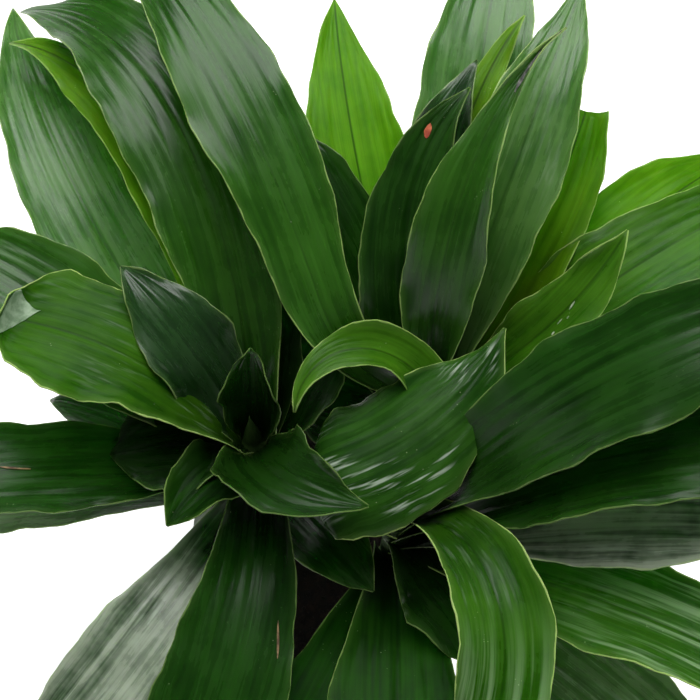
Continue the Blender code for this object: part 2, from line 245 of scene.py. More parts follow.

# One finish of the blades: its darker and lighter green, its roughness, its gloss, how much light it lets
# through, how strong its streaks stand out, how pale its margin is, how strong its short pale dashes of
# painted sheen are, and the same for the painted sheen of the pale streaks on its outer part
Finish = namedtuple(
    "Finish", "deep light roughness gloss glow relief rim dashes outer_streaks", defaults=(0.0, 0.0)
)
# The whitish greens of the pale, sheen and silvery finishes are painted sheen, not the leaves' own colour.
FINISHES = {
    "deep": Finish((0.0035, 0.020, 0.0015), (0.010, 0.048, 0.003), 0.26, 0.28, 0.10, 0.7, 0.30),
    "dull": Finish((0.0035, 0.020, 0.0015), (0.012, 0.058, 0.003), 0.38, 0.06, 0.10, 0.6, 0.40),
    "mid": Finish((0.008, 0.042, 0.002), (0.022, 0.090, 0.005), 0.26, 0.45, 0.15, 0.7, 0.60),
    "green": Finish((0.010, 0.052, 0.002), (0.032, 0.108, 0.004), 0.32, 0.08, 0.20, 0.8, 1.00, 0.08),
    "sheen_streaked": Finish((0.010, 0.050, 0.002), (0.032, 0.108, 0.005), 0.30, 0.12, 0.20, 0.9, 1.00, 0.08, 0.75),
    "fresh": Finish((0.016, 0.068, 0.002), (0.044, 0.135, 0.005), 0.31, 0.14, 0.25, 0.6, 0.70),
    # Painted light: the bright yellow-green of the lit finish stands in for light shining through the blade.
    "lit": Finish((0.045, 0.130, 0.002), (0.090, 0.210, 0.004), 0.36, 0.12, 0.40, 0.4, 0.60),
    "pale": Finish((0.022, 0.080, 0.010), (0.060, 0.150, 0.026), 0.27, 0.60, 0.20, 0.8, 0.70, 0.1),
    "blue": Finish((0.005, 0.024, 0.004), (0.014, 0.054, 0.010), 0.26, 0.70, 0.10, 0.9, 0.40, 0.1),
    "sheen": Finish((0.022, 0.065, 0.012), (0.100, 0.155, 0.070), 0.26, 0.80, 0.10, 0.9, 0.60, 0.20),
    "silver_sheen": Finish((0.012, 0.034, 0.010), (0.330, 0.375, 0.290), 0.26, 0.80, 0.10, 1.0, 0.60, 0.5),
    "under": Finish((0.006, 0.030, 0.003), (0.020, 0.076, 0.006), 0.26, 0.14, 0.10, 0.8, 0.90, 0.60),
}
MARGIN_GREEN = (0.30, 0.42, 0.13)

# Studio
CAMERA_TARGET = (0.0009, 0.0333, 0.3455)
SENSOR_WIDTH = 36.0
FLOOR_HALF_WIDTH = 6.0
FLOOR_GLOW = 0.75


class PotSettings(bpy.types.PropertyGroup):
    height: bpy.props.FloatProperty(
        name="Height", description="Height of the pot", default=0.180, unit="LENGTH"
    )
    top_radius: bpy.props.FloatProperty(
        name="Rim radius", description="Outer radius at the rim", default=0.104, unit="LENGTH"
    )
    base_radius: bpy.props.FloatProperty(
        name="Base radius", description="Outer radius at the foot", default=0.076, unit="LENGTH"
    )
    wall: bpy.props.FloatProperty(
        name="Wall", description="Thickness of the pot's wall", default=0.006, unit="LENGTH"
    )
    glaze: bpy.props.FloatVectorProperty(
        name="Glaze", description="Colour of the glaze", default=(0.86, 0.86, 0.84), subtype="COLOR"
    )


class LeafSettings(bpy.types.PropertyGroup):
    thickness: bpy.props.FloatProperty(
        name="Thickness", description="Thickness of a blade", default=0.0007, unit="LENGTH", precision=5
    )
    pleat_depth: bpy.props.FloatProperty(
        name="Pleat depth", description="Height of the pleats", default=0.00042, unit="LENGTH", precision=5
    )
    groove: bpy.props.FloatProperty(
        name="Groove", description="Depth of the midrib's groove", default=0.0005, unit="LENGTH", precision=5
    )
    waver: bpy.props.FloatProperty(
        name="Waver", description="How far the margin wavers, as a share of the width", default=0.05
    )
    crimp: bpy.props.FloatProperty(
        name="Crimp", description="Height of the margin's ripple", default=0.0011, unit="LENGTH", precision=5
    )
    margin: bpy.props.FloatProperty(
        name="Margin", description="Width of the pale margin", default=0.0006, unit="LENGTH", precision=5
    )
    margin_colour: bpy.props.FloatVectorProperty(
        name="Margin colour", description="Colour of the pale margin", default=MARGIN_GREEN, subtype="COLOR"
    )


class StudioSettings(bpy.types.PropertyGroup):
    elevation: bpy.props.FloatProperty(
        name="Elevation", description="Camera's height angle", default=math.radians(57.0), subtype="ANGLE"
    )
    distance: bpy.props.FloatProperty(
        name="Distance", description="From the camera to its target", default=0.576, unit="LENGTH"
    )
    view_angle: bpy.props.FloatProperty(
        name="View angle", description="Camera's field of view", default=math.radians(37.0), subtype="ANGLE"
    )
    back_light: bpy.props.FloatProperty(
        name="Back light", description="Power of the soft box behind the plant", default=15.0, unit="POWER"
    )
    top_light: bpy.props.FloatProperty(
        name="Top light", description="Power of the soft box above the plant", default=22.0, unit="POWER"
    )
    fill_light: bpy.props.FloatProperty(
        name="Fill light", description="Power of the soft box at the side", default=13.0, unit="POWER"
    )
    walls: bpy.props.FloatProperty(
        name="Walls", description="Strength of the light from the white walls", default=0.8
    )
    air: bpy.props.FloatProperty(
        name="Air", description="Strength of the light from all round", default=0.07
    )
    backdrop: bpy.props.FloatProperty(
        name="Backdrop", description="Brightness of the backdrop as it is seen", default=0.87
    )
    floor: bpy.props.FloatVectorProperty(
        name="Floor", description="Colour of the floor", default=(0.75, 0.75, 0.74), subtype="COLOR"
    )


def node(tree, kind, **inputs):
    """A new node, with values or links for its inputs, which are named with _ for a blank."""
    made = tree.nodes.new(kind)
    for name, value in inputs.items():
        plug(tree, value, made.inputs[name.replace("_", " ")])
    return made


def plug(tree, value, socket):
    """Links an output to an input, or sets the input's value."""
    if isinstance(value, bpy.types.NodeSocket):
        tree.links.new(value, socket)
    elif isinstance(value, tuple) and len(value) == 3 and socket.type == "RGBA":
        socket.default_value = (*value, 1.0)
    else:
        socket.default_value = value


def calculate(tree, operation, first, second=0.0):
    """The result of a Math node."""
    made = tree.nodes.new("ShaderNodeMath")
    made.operation = operation
    plug(tree, first, made.inputs[0])
    plug(tree, second, made.inputs[1])
    return made.outputs["Value"]


def ramp(tree, value, low, high, start=0.0, end=1.0):
    """value from low to high, turned smoothly into start to end."""
    made = tree.nodes.new("ShaderNodeMapRange")
    made.interpolation_type = "SMOOTHSTEP"
    for socket, given in zip(made.inputs, (value, low, high, start, end)):
        plug(tree, given, socket)
    return made.outputs["Result"]


def mix_colours(tree, factor, first, second, blend="MIX"):
    """The first colour, blended with the second by the factor."""
    made = tree.nodes.new("ShaderNodeMix")
    made.data_type = "RGBA"
    made.blend_type = blend
    plug(tree, factor, made.inputs[0])
    plug(tree, first, made.inputs[6])
    plug(tree, second, made.inputs[7])
    return made.outputs[2]


def fine_noise(tree, vector, scale, detail=2.0, roughness=0.5):
    """A noise pattern from 0 to 1."""
    made = node(tree, "ShaderNodeTexNoise", Vector=vector, Scale=scale, Detail=detail, Roughness=roughness)
    return made.outputs["Fac"]


def own_place(tree):
    """The place of the shaded point in its piece."""
    return tree.nodes.new("ShaderNodeTexCoord").outputs["Object"]


def new_group(name, inputs, outputs):
    """An empty node group with its sockets, and its input and output nodes."""
    tree = bpy.data.node_groups.new(name, "ShaderNodeTree")
    kinds = {"colour": "NodeSocketColor", "value": "NodeSocketFloat", "vector": "NodeSocketVector"}
    for label, kind, default in inputs:
        socket = tree.interface.new_socket(label, in_out="INPUT", socket_type=kinds[kind])
        if default is not None:
            socket.default_value = default
    for label, kind in outputs:
        tree.interface.new_socket(label, in_out="OUTPUT", socket_type=kinds[kind])
    return tree, tree.nodes.new("NodeGroupInput").outputs, tree.nodes.new("NodeGroupOutput").inputs


def blade_group():
    """Node group for a blade: greens, veins, painted shade at foot and midrib, painted sheen in dashes and
    streaks, pale margin with painted light inside it, and specks.
    """
    name = "Blade surface"
    if name in bpy.data.node_groups:
        return bpy.data.node_groups[name]
    tree, given, result = new_group(
        name,
        (
            ("Deep", "colour", None),
            ("Light", "colour", None),
            ("Margin", "colour", None),
            ("Margin Width", "value", 0.001),
            ("Roughness", "value", 0.38),
            ("Midrib Shade", "value", 0.2),
            ("Dashes", "value", 0.0),
            ("Outer Streaks", "value", 0.0),
        ),
        (("Colour", "colour"), ("Roughness", "value"), ("Height", "value")),
    )
    blade = tree.nodes.new("ShaderNodeUVMap")
    blade.uv_map = "blade"
    place = node(tree, "ShaderNodeSeparateXYZ", Vector=blade.outputs["UV"]).outputs
    edge, pattern = (tree.nodes.new("ShaderNodeAttribute") for _ in range(2))
    edge.attribute_name, pattern.attribute_name = "margin", "pattern"
    edge, pattern = edge.outputs["Fac"], pattern.outputs["Fac"]
    here = own_place(tree)

    def along_blade(across_scale, along_scale, shift):
        return node(
            tree,
            "ShaderNodeCombineXYZ",
            X=calculate(tree, "MULTIPLY", place["X"], across_scale),
            Y=calculate(tree, "MULTIPLY", place["Y"], along_scale),
            Z=calculate(tree, "ADD", pattern, shift),
        ).outputs[0]

    veins = fine_noise(tree, along_blade(1300.0, 16.0, 0.0), 1.0, 2.0, 0.6)
    streaks = fine_noise(tree, along_blade(260.0, 9.0, 5.0), 1.0, 3.0, 0.55)
    mottle = fine_noise(tree, here, 30.0, 4.0, 0.6)
    shade = calculate(tree, "MULTIPLY", streaks, 0.5)
    shade = calculate(tree, "ADD", shade, calculate(tree, "MULTIPLY", mottle, 0.5))
    colour = mix_colours(tree, ramp(tree, shade, 0.32, 0.66), given["Deep"], given["Light"])
    # Fine veins, and painted shade on the foot of the blade, darkest at the root deep in the crown
    vein_and_foot_shade = ramp(tree, veins, 0.30, 0.70, 0.93, 1.07)
    vein_and_foot_shade = calculate(tree, "MULTIPLY", vein_and_foot_shade, ramp(tree, place["Y"], 0.0, 0.12, 0.30, 1.0))
    veined_and_foot_shaded = node(tree, "ShaderNodeCombineColor", Red=vein_and_foot_shade, Green=vein_and_foot_shade, Blue=vein_and_foot_shade).outputs[0]
    colour = mix_colours(tree, 1.0, colour, veined_and_foot_shaded, "MULTIPLY")
    # The dark line of the midrib, painted shade where it lets less light through than the blade
    off_middle = calculate(tree, "ABSOLUTE", place["X"])
    line = ramp(tree, off_middle, 0.0002, 0.0011, 1.0, 0.0)
    line = calculate(tree, "MULTIPLY", line, given["Midrib Shade"])
    colour = mix_colours(tree, line, colour, mix_colours(tree, 0.7, given["Deep"], (0.0, 0.0, 0.0)))
    # Painted sheen: short pale dashes, where the blade's fine folds catch the light
    sheen_dash = fine_noise(tree, along_blade(430.0, 42.0, 12.0), 1.0, 2.0, 0.5)
    group = fine_noise(tree, along_blade(34.0, 18.0, 15.0), 1.0, 1.0, 0.5)
    sheen_dash = calculate(tree, "MULTIPLY", ramp(tree, sheen_dash, 0.52, 0.70), ramp(tree, group, 0.47, 0.60))
    sheen_dash = calculate(tree, "MULTIPLY", sheen_dash, ramp(tree, edge, 0.002, 0.008))
    sheen_dash = calculate(tree, "MULTIPLY", sheen_dash, given["Dashes"])
    colour = mix_colours(tree, sheen_dash, colour, (0.42, 0.50, 0.40))
    # Painted sheen: long pale streaks on the outer part of the blade
    outer = calculate(tree, "MULTIPLY", ramp(tree, streaks, 0.44, 0.62), ramp(tree, place["Y"], 0.10, 0.19))
    outer = calculate(tree, "MULTIPLY", outer, given["Outer Streaks"])
    colour = mix_colours(tree, outer, colour, (0.26, 0.38, 0.21))
    # Painted light shining through the blade: a lighter green lies inside the pale margin, which is uneven
    # itself.
    ragged = fine_noise(tree, along_blade(60.0, 80.0, 9.0), 1.0, 3.0, 0.6)
    light_through_band = ramp(tree, edge, 0.0, 0.005, 0.5, 0.0)
    colour = mix_colours(tree, light_through_band, colour, mix_colours(tree, 0.15, given["Light"], given["Margin"]))
    reach = calculate(tree, "MULTIPLY", given["Margin Width"], ramp(tree, ragged, 0.35, 0.65, 0.2, 1.8))
    rim = ramp(tree, edge, calculate(tree, "MULTIPLY", reach, 0.45), reach, 0.95, 0.0)
    colour = mix_colours(tree, rim, colour, given["Margin"])
    # Small pale specks, in loose groups
    dots = node(tree, "ShaderNodeTexVoronoi", Scale=360.0, Vector=here)
    speck = ramp(tree, dots.outputs["Distance"], 0.06, 0.13, 0.5, 0.0)
    chosen = ramp(tree, fine_noise(tree, here, 75.0, 1.0), 0.63, 0.72)
    colour = mix_colours(tree, calculate(tree, "MULTIPLY", speck, chosen), colour, (0.42, 0.50, 0.30))
    plug(tree, colour, result["Colour"])
    rough = calculate(tree, "ADD", given["Roughness"], ramp(tree, streaks, 0.3, 0.7, -0.05, 0.06))
    rough = calculate(tree, "ADD", rough, ramp(tree, mottle, 0.35, 0.7, -0.03, 0.05))
    plug(tree, rough, result["Roughness"])
    height = calculate(tree, "ADD", calculate(tree, "MULTIPLY", veins, 0.3), streaks)
    plug(tree, height, result["Height"])
    return tree


def new_material(name):
    """A material, its node tree and its shader."""
    material = bpy.data.materials.new(name)
    material.use_nodes = True
    tree = material.node_tree
    return material, tree, tree.nodes["Principled BSDF"]


def add_bump(tree, height, shader, strength, distance):
    """Gives the shader fine relief."""
    bump = node(tree, "ShaderNodeBump", Strength=strength, Distance=distance, Height=height)
    plug(tree, bump.outputs["Normal"], shader.inputs["Normal"])


def blade_material(name):
    """Glossy green blade in one of the finishes, made once."""
    if "blade_" + name in bpy.data.materials:
        return bpy.data.materials["blade_" + name]
    finish = FINISHES[name]
    settings = bpy.context.scene.dracaena_leaves
    margin = tuple(
        light + finish.rim * (pale - light) for light, pale in zip(finish.light, settings.margin_colour)
    )
    material, tree, shader = new_material("blade_" + name)
    surface = tree.nodes.new("ShaderNodeGroup")
    surface.node_tree = blade_group()
    # The midrib's painted shade grows with how much light the blade lets through; the dashes and outer
    # streaks are painted sheen.
    for label, value in (
        ("Deep", finish.deep),
        ("Light", finish.light),
        ("Margin", margin),
        ("Margin Width", settings.margin),
        ("Roughness", finish.roughness),
        ("Midrib Shade", 2.0 * finish.glow),
        ("Dashes", finish.dashes),
        ("Outer Streaks", finish.outer_streaks),
    ):
        plug(tree, value, surface.inputs[label])
    plug(tree, surface.outputs["Colour"], shader.inputs["Base Color"])
    plug(tree, surface.outputs["Roughness"], shader.inputs["Roughness"])
    shader.inputs["Specular IOR Level"].default_value = finish.gloss
    shader.inputs["Subsurface Weight"].default_value = finish.glow
    shader.inputs["Subsurface Radius"].default_value = (0.5, 1.0, 0.2)
    shader.inputs["Subsurface Scale"].default_value = 0.004
    add_bump(tree, surface.outputs["Height"], shader, finish.relief, 0.0003)
    return material


def smooth(low, high, value):
    """0 below low and 1 above high, with an easy curve between them."""
    t = np.clip((value - low) / (high - low), 0.0, 1.0)
    return t * t * (3.0 - 2.0 * t)


def blade_width(leaf, along):
    """Full width of the blade at each place along it, 0 at the root and 1 at the tip."""
    opening = NARROW_BASE + (1.0 - NARROW_BASE) * smooth(0.02, leaf.widest + 0.02, along)
    taper = np.clip((along - leaf.widest) / (1.0 - leaf.widest), 0.0, 1.0)
    return leaf.width * opening * (1.0 - taper**2) ** leaf.taper + TIP_WIDTH


def midrib(leaf, foot):
    """Places along the midrib, its points, and the directions across the blade and up from it."""
    along = np.linspace(0.0, leaf.cut, MIDRIB_STEPS + 1)
    pitch = leaf.launch - leaf.arch * along**leaf.power
    if leaf.curl:
        angle, start, end = leaf.curl
        pitch = pitch + angle * smooth(start, end, along)
    heading = leaf.azimuth + leaf.swerve * along**SWERVE_POWER + leaf.turn * smooth(0.0, TURN_END, along)
    pitch, heading = np.radians(pitch), np.radians(heading)
    level = np.stack([np.cos(heading), np.sin(heading), np.zeros_like(heading)], axis=1)
    upright = np.array([0.0, 0.0, 1.0])
    forward = np.cos(pitch)[:, None] * level + np.sin(pitch)[:, None] * upright
    above = np.cos(pitch)[:, None] * upright - np.sin(pitch)[:, None] * level
    side = np.cross(above, forward)
    step = leaf.length * leaf.cut / MIDRIB_STEPS
    travelled = np.cumsum((forward[1:] + forward[:-1]) / 2.0 * step, axis=0)
    root = np.array([foot[0], foot[1], LOWEST_ROOT + leaf.rise]) + ROOT_OFFSET * level[0]
    points = root + np.vstack([np.zeros(3), travelled])
    return along, points, side, above


def blade_points(leaf, foot, along, across, settings):
    """Points of the blade, and half its width there.

    along runs from 0 at the root to 1 at the end, and across from -1 to 1.
    """
    places, points, side, above = midrib(leaf, foot)
    along = along * leaf.cut
    centre, side, above = (
        np.stack([np.interp(along, places, line[:, i]) for i in range(3)], axis=1)
        for line in (points, side, above)
    )
    tip_cup = leaf.cup if leaf.tip_cup is None else leaf.tip_cup
    cup = leaf.cup + (BASE_CUP - leaf.cup) * (1.0 - smooth(0.0, BASE_CUP_END, along))
    cup = np.radians(cup + (tip_cup - leaf.cup) * smooth(WIDEST_AT, 1.0, along))
    half_width = blade_width(leaf, along) / 2.0
    radius = half_width / cup
    sideways = radius * np.sin(cup * across)
    lift = radius * (1.0 - np.cos(cup * across))
    reach = smooth(*WAVE_START, along) * (1.0 - smooth(*WAVE_END, along))
    phase = np.where(across > 0.0, FAR_EDGE_PHASE, 0.0) + PHASE_PER_RISE * leaf.rise
    ripple = np.sin(math.tau * WAVES * along + phase)
    lift = lift + EDGE_WAVE * reach * np.abs(across) ** WAVE_POWER * ripple
    # The margin wavers in and out and ripples, uneven pleats run along the blade, and the midrib is a groove.
    tau = math.tau
    seed = PHASE_PER_RISE * leaf.rise + leaf.azimuth
    edge_seed = seed + np.where(across > 0.0, 2.0, 0.0)
    size = leaf.width / USUAL_WIDTH
    waver = 0.6 * np.sin(tau * 3.6 * along + 1.7 * edge_seed)
    waver = waver + 0.4 * np.sin(tau * 6.9 * along + 2.3 * edge_seed)
    waver = waver + 0.22 * np.sin(tau * 15.7 * along + 3.1 * edge_seed)
    sideways = sideways * (1.0 + settings.waver * reach * np.abs(across) ** 3 * waver)
    crimp = np.sin(tau * 5.3 * along + 1.3 * edge_seed) + 0.45 * np.sin(tau * 11.3 * along + edge_seed)
    lift = lift + settings.crimp * size * reach * np.abs(across) ** 4 * crimp
    drift = 0.5 * np.sin(tau * 0.9 * along + seed) + 0.3 * np.sin(tau * 2.3 * along + 2.0 * seed)
    folds = smooth(0.06, 0.45, along) * (1.0 - smooth(0.86, 1.0, along))
    pleats = (
        0.42 * np.cos(math.pi * (4.7 * across + drift) + seed)
        + 0.36 * np.cos(math.pi * (8.3 * across - drift) + 1.9 * seed)
        + 0.22 * np.cos(math.pi * (13.1 * across + 1.4 * drift) + 2.7 * seed)
    )
    lift = lift + settings.pleat_depth * size * folds * (1.0 - 0.4 * across**2) * pleats
    groove = settings.groove * (1.0 - smooth(0.85, 1.0, along))
    lift = lift - groove * np.exp(-((across * half_width / GROOVE_WIDTH) ** 2))
    return centre + sideways[:, None] * side + lift[:, None] * above, half_width


def new_object(name, shape):
    """Turns a bmesh into an object at the origin."""
    mesh = bpy.data.meshes.new(name)
    shape.to_mesh(mesh)
    shape.free()
    made = bpy.data.objects.new(name, mesh)
    bpy.context.scene.collection.objects.link(made)
    return made


def add_piece(name, shape, material):
    """Turns a bmesh into a piece of the plant."""
    piece = new_object(name, shape)
    piece.data.materials.append(material)
    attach(piece, "root")
    return piece


def make_blade(name, leaf, foot, material, settings, seed):
    """One blade: a grid bent by the leaf's formula, with its own map of across and along, made thick."""
    rows = max(FEWEST_ROWS, round(leaf.length * leaf.cut / ROW_LENGTH))
    if leaf.curl:
        rows = round(rows * CURL_ROWS)
    shape = bmesh.new()
    bmesh.ops.create_grid(shape, x_segments=rows, y_segments=COLUMNS, size=1.0)
    margin = shape.verts.layers.float.new("margin")
    pattern = shape.verts.layers.float.new("pattern")
    blade = shape.loops.layers.uv.new("blade")
    vertices = list(shape.verts)
    along = np.array([(vertex.co.x + 1.0) / 2.0 for vertex in vertices])
    across = np.array([vertex.co.y for vertex in vertices])
    across = np.sin(EDGE_CROWDING * across) / math.sin(EDGE_CROWDING)
    points, half_width = blade_points(leaf, foot, along, across, settings)
    to_margin = half_width * (1.0 - np.abs(across))
    flat = {}
    for i, vertex in enumerate(vertices):
        vertex.co = Vector(points[i])
        vertex[margin] = to_margin[i]
        vertex[pattern] = seed
        flat[vertex] = (across[i] * half_width[i], along[i] * leaf.cut * leaf.length)
    for face in shape.faces:
        face.smooth = True
        for loop in face.loops:
            loop[blade].uv = flat[loop.vert]
    piece = add_piece(name, shape, material)
    thickness = piece.modifiers.new("Thickness", "SOLIDIFY")
    thickness.thickness = settings.thickness
    thickness.offset = 0.0


def mark_material(kind):
    """Dull and mottled, in the mark's two colours."""
    material, tree, shader = new_material("mark_" + kind)
    here = own_place(tree)
    dark, pale = MARK_COLOURS[kind]
    colour = mix_colours(tree, ramp(tree, fine_noise(tree, here, 260.0, 4.0), 0.35, 0.65), dark, pale)
    plug(tree, colour, shader.inputs["Base Color"])
    shader.inputs["Roughness"].default_value = 0.55
    return material


def add_mark(shape, mark, settings):
    """Adds a lens-shaped strip, or the triangle of a folded tip, on the upper side of its blade."""
    foot, leaves = HEADS[mark.head]
    leaf = leaves[mark.number - 1]
    grid = bmesh.ops.create_grid(shape, x_segments=MARK_ROWS, y_segments=MARK_COLUMNS, size=1.0)["verts"]
    part = np.array([(vertex.co.x + 1.0) / 2.0 for vertex in grid])
    aside = np.array([vertex.co.y for vertex in grid])
    start, end = Vector(mark.start), Vector(mark.end)
    half_width = float(blade_width(leaf, start.x)) / 2.0
    course = Vector(((end.x - start.x) * leaf.length, (end.y - start.y) * half_width)).normalized()
    outline = np.sqrt(np.sin(math.pi * np.clip(part, 0.01, 0.99)))
    if mark.kind == "folded_tip":
        outline = np.clip(1.0 - part, 0.01, 1.0) ** 1.5
    half = aside * mark.width / 2.0 * outline
    along = start.x + (end.x - start.x) * part - course.y * half / leaf.length
    across = start.y + (end.y - start.y) * part + course.x * half / half_width
    across = np.clip(across, -MARK_REACH, MARK_REACH)
    points, _half_width = blade_points(leaf, foot, along / leaf.cut, across, settings)
    for vertex, point in zip(grid, points):
        vertex.co = Vector(point)
    shape.normal_update()
    for vertex in grid:
        vertex.co += vertex.normal * (settings.thickness / 2.0 + MARK_LIFT)


def turned(name, profile, steps, place, material):
    """Turns a profile of (radius, height) points round a vertical axis."""
    shape = bmesh.new()
    last = len(profile) - 1
    for vertex in bmesh.ops.create_grid(shape, x_segments=steps, y_segments=last, size=1.0)["verts"]:
        angle = math.pi * (vertex.co.x + 1.0)
        radius, height = profile[round(last * (vertex.co.y + 1.0) / 2.0)]
        vertex.co = (place[0] + radius * math.cos(angle), place[1] + radius * math.sin(angle), height)
    bmesh.ops.remove_doubles(shape, verts=shape.verts, dist=MERGE_DISTANCE)
    bmesh.ops.recalc_face_normals(shape, faces=shape.faces)
    for face in shape.faces:
        face.smooth = True
    return add_piece(name, shape, material)


def inner_radius(pot, height):
    """Radius of the pot's inner wall at a height."""
    outer = pot.base_radius + (pot.top_radius - RIM_STEP - pot.base_radius) * height / pot.height
    return outer - pot.wall


def rounded(profile):
    """The profile with its corners rounded."""
    result = [profile[0]]
    for before, corner, after in zip(profile, profile[1:], profile[2:]):
        before, corner, after = (Vector((x, z)) for x, z in (before, corner, after))
        reach = min(POT_ROUNDING, (before - corner).length / 2.1, (after - corner).length / 2.1)
        start = corner + (before - corner).normalized() * reach
        end = corner + (after - corner).normalized() * reach
        for i in range(ROUNDING_STEPS + 1):
            t = i / ROUNDING_STEPS
            point = start * (1 - t) ** 2 + corner * 2 * t * (1 - t) + end * t**2
            result.append((point.x, point.y))
    result.append(profile[-1])
    return result


def glaze_material(settings):
    """White glaze: glossy, hardly uneven, with faint specks."""
    material, tree, shader = new_material("white_glaze")
    here = own_place(tree)
    waves = fine_noise(tree, here, 26.0, 2.0)
    dots = node(tree, "ShaderNodeTexVoronoi", Scale=260.0, Vector=here).outputs["Distance"]
    chosen = ramp(tree, fine_noise(tree, here, 90.0, 1.0), 0.58, 0.66)
    speck = calculate(tree, "MULTIPLY", ramp(tree, dots, 0.06, 0.12, 0.35, 0.0), chosen)
    white = tuple(settings.glaze)
    greyer = tuple(0.93 * part for part in white)
    colour = mix_colours(tree, ramp(tree, waves, 0.3, 0.7, 0.0, 0.5), white, greyer)
    colour = mix_colours(tree, speck, colour, (0.55, 0.52, 0.47))
    plug(tree, colour, shader.inputs["Base Color"])
    plug(tree, ramp(tree, waves, 0.3, 0.7, 0.14, 0.24), shader.inputs["Roughness"])
    shader.inputs["Coat Weight"].default_value = 0.4
    shader.inputs["Coat Roughness"].default_value = 0.08
    add_bump(tree, waves, shader, 0.25, 0.0008)
    return material


def soil_material():
    """Damp potting soil, near black with brown fibres and a few pale grains."""
    material, tree, shader = new_material("potting_soil")
    here = own_place(tree)
    lumps = fine_noise(tree, here, 160.0, 5.0, 0.65)
    fibres = fine_noise(tree, here, 700.0, 3.0, 0.7)
    colour = mix_colours(tree, ramp(tree, lumps, 0.35, 0.7), (0.006, 0.004, 0.006), (0.030, 0.019, 0.017))
    colour = mix_colours(tree, ramp(tree, fibres, 0.62, 0.72, 0.0, 0.6), colour, (0.11, 0.075, 0.05))
    plug(tree, colour, shader.inputs["Base Color"])
    plug(tree, ramp(tree, lumps, 0.3, 0.7, 0.75, 1.0), shader.inputs["Roughness"])
    height = calculate(tree, "ADD", lumps, calculate(tree, "MULTIPLY", fibres, 0.3))
    add_bump(tree, height, shader, 0.9, 0.002)
    return material


def bark_material():
    """Grey-brown bark with fine upright cracks and darker rings."""
    material, tree, shader = new_material("cane_bark")
    here = own_place(tree)
    stretch = node(tree, "ShaderNodeMapping", Vector=here, Scale=(1.0, 1.0, 0.16)).outputs[0]
    flat = node(tree, "ShaderNodeMapping", Vector=here, Scale=(0.2, 0.2, 1.0)).outputs[0]
    cracks = fine_noise(tree, stretch, 620.0, 4.0, 0.6)
    rings = fine_noise(tree, flat, 420.0, 2.0, 0.5)
    patches = fine_noise(tree, here, 70.0, 3.0, 0.6)
    colour = mix_colours(tree, ramp(tree, patches, 0.3, 0.7), (0.13, 0.085, 0.048), (0.30, 0.23, 0.155))
    colour = mix_colours(tree, ramp(tree, cracks, 0.50, 0.68, 0.0, 0.75), colour, (0.06, 0.04, 0.025))
    colour = mix_colours(tree, ramp(tree, rings, 0.55, 0.66, 0.0, 0.5), colour, (0.09, 0.06, 0.035))
    plug(tree, colour, shader.inputs["Base Color"])
    plug(tree, ramp(tree, patches, 0.3, 0.7, 0.68, 0.9), shader.inputs["Roughness"])
    add_bump(tree, calculate(tree, "ADD", cracks, rings), shader, 0.7, 0.0009)
    return material


def stem_material():
    """Green stem, paler where a leaf has left its base."""
    material, tree, shader = new_material("green_stem")
    here = own_place(tree)
    stretch = node(tree, "ShaderNodeMapping", Vector=here, Scale=(1.0, 1.0, 0.1)).outputs[0]
    fibres = fine_noise(tree, stretch, 700.0, 3.0, 0.6)
    patches = fine_noise(tree, here, 80.0, 2.0, 0.5)
    colour = mix_colours(tree, ramp(tree, patches, 0.3, 0.7), (0.016, 0.045, 0.007), (0.040, 0.085, 0.018))
    colour = mix_colours(tree, ramp(tree, fibres, 0.55, 0.70, 0.0, 0.3), colour, (0.12, 0.16, 0.06))
    plug(tree, colour, shader.inputs["Base Color"])
    plug(tree, ramp(tree, fibres, 0.3, 0.7, 0.40, 0.58), shader.inputs["Roughness"])
    add_bump(tree, fibres, shader, 0.5, 0.0005)
    return material


class DRACAENA_OT_make_pot(bpy.types.Operator):
    """Make the tapered pot with its stepped rim and drain holes"""

    bl_idname = "dracaena.make_pot"
    bl_label = "Pot"

    def execute(self, context):
        pot = context.scene.dracaena_pot
        under_rim = pot.height - RIM_HEIGHT
        wall_top = inner_radius(pot, under_rim) + pot.wall
        profile = [
            (0.0, POT_FLOOR),
            (inner_radius(pot, POT_FLOOR), POT_FLOOR),
            (inner_radius(pot, pot.height), pot.height),
            (pot.top_radius, pot.height),
            (wall_top + RIM_STEP, under_rim),
            (wall_top, under_rim - RIM_STEP / 2.0),
            (pot.base_radius, 0.0),
            (0.0, 0.0),
        ]
        piece = turned("pot_body", rounded(profile), POT_STEPS, (0, 0), glaze_material(pot))
        # Turned by half a side, no corner of a drain hole lies on an edge of the pot's floor.
        hole_place = Matrix.Translation((DRAIN_CIRCLE, 0, 0)) @ Matrix.Rotation(math.pi / DRAIN_SIDES, 4, "Z")
        for i in range(DRAIN_COUNT):
            turn = Matrix.Rotation(math.tau * i / DRAIN_COUNT, 4, "Z")
            shape = bmesh.new()
            bmesh.ops.create_cone(
                shape, cap_ends=True, segments=DRAIN_SIDES, radius1=DRAIN_RADIUS, radius2=DRAIN_RADIUS,
                depth=6.0 * POT_FLOOR, matrix=turn @ hole_place,
            )
            cutter = new_object("drain_cutter", shape)
            hole = piece.modifiers.new("Drain", "BOOLEAN")
            hole.operation = "DIFFERENCE"
            hole.object = cutter
            cut = bpy.data.meshes.new_from_object(piece.evaluated_get(context.evaluated_depsgraph_get()))
            piece.modifiers.clear()
            piece.data = cut
            bpy.data.objects.remove(cutter, do_unlink=True)
        piece.data.set_sharp_from_angle(angle=math.radians(SHARP_ANGLE))
        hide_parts("pot")
        return {"FINISHED"}


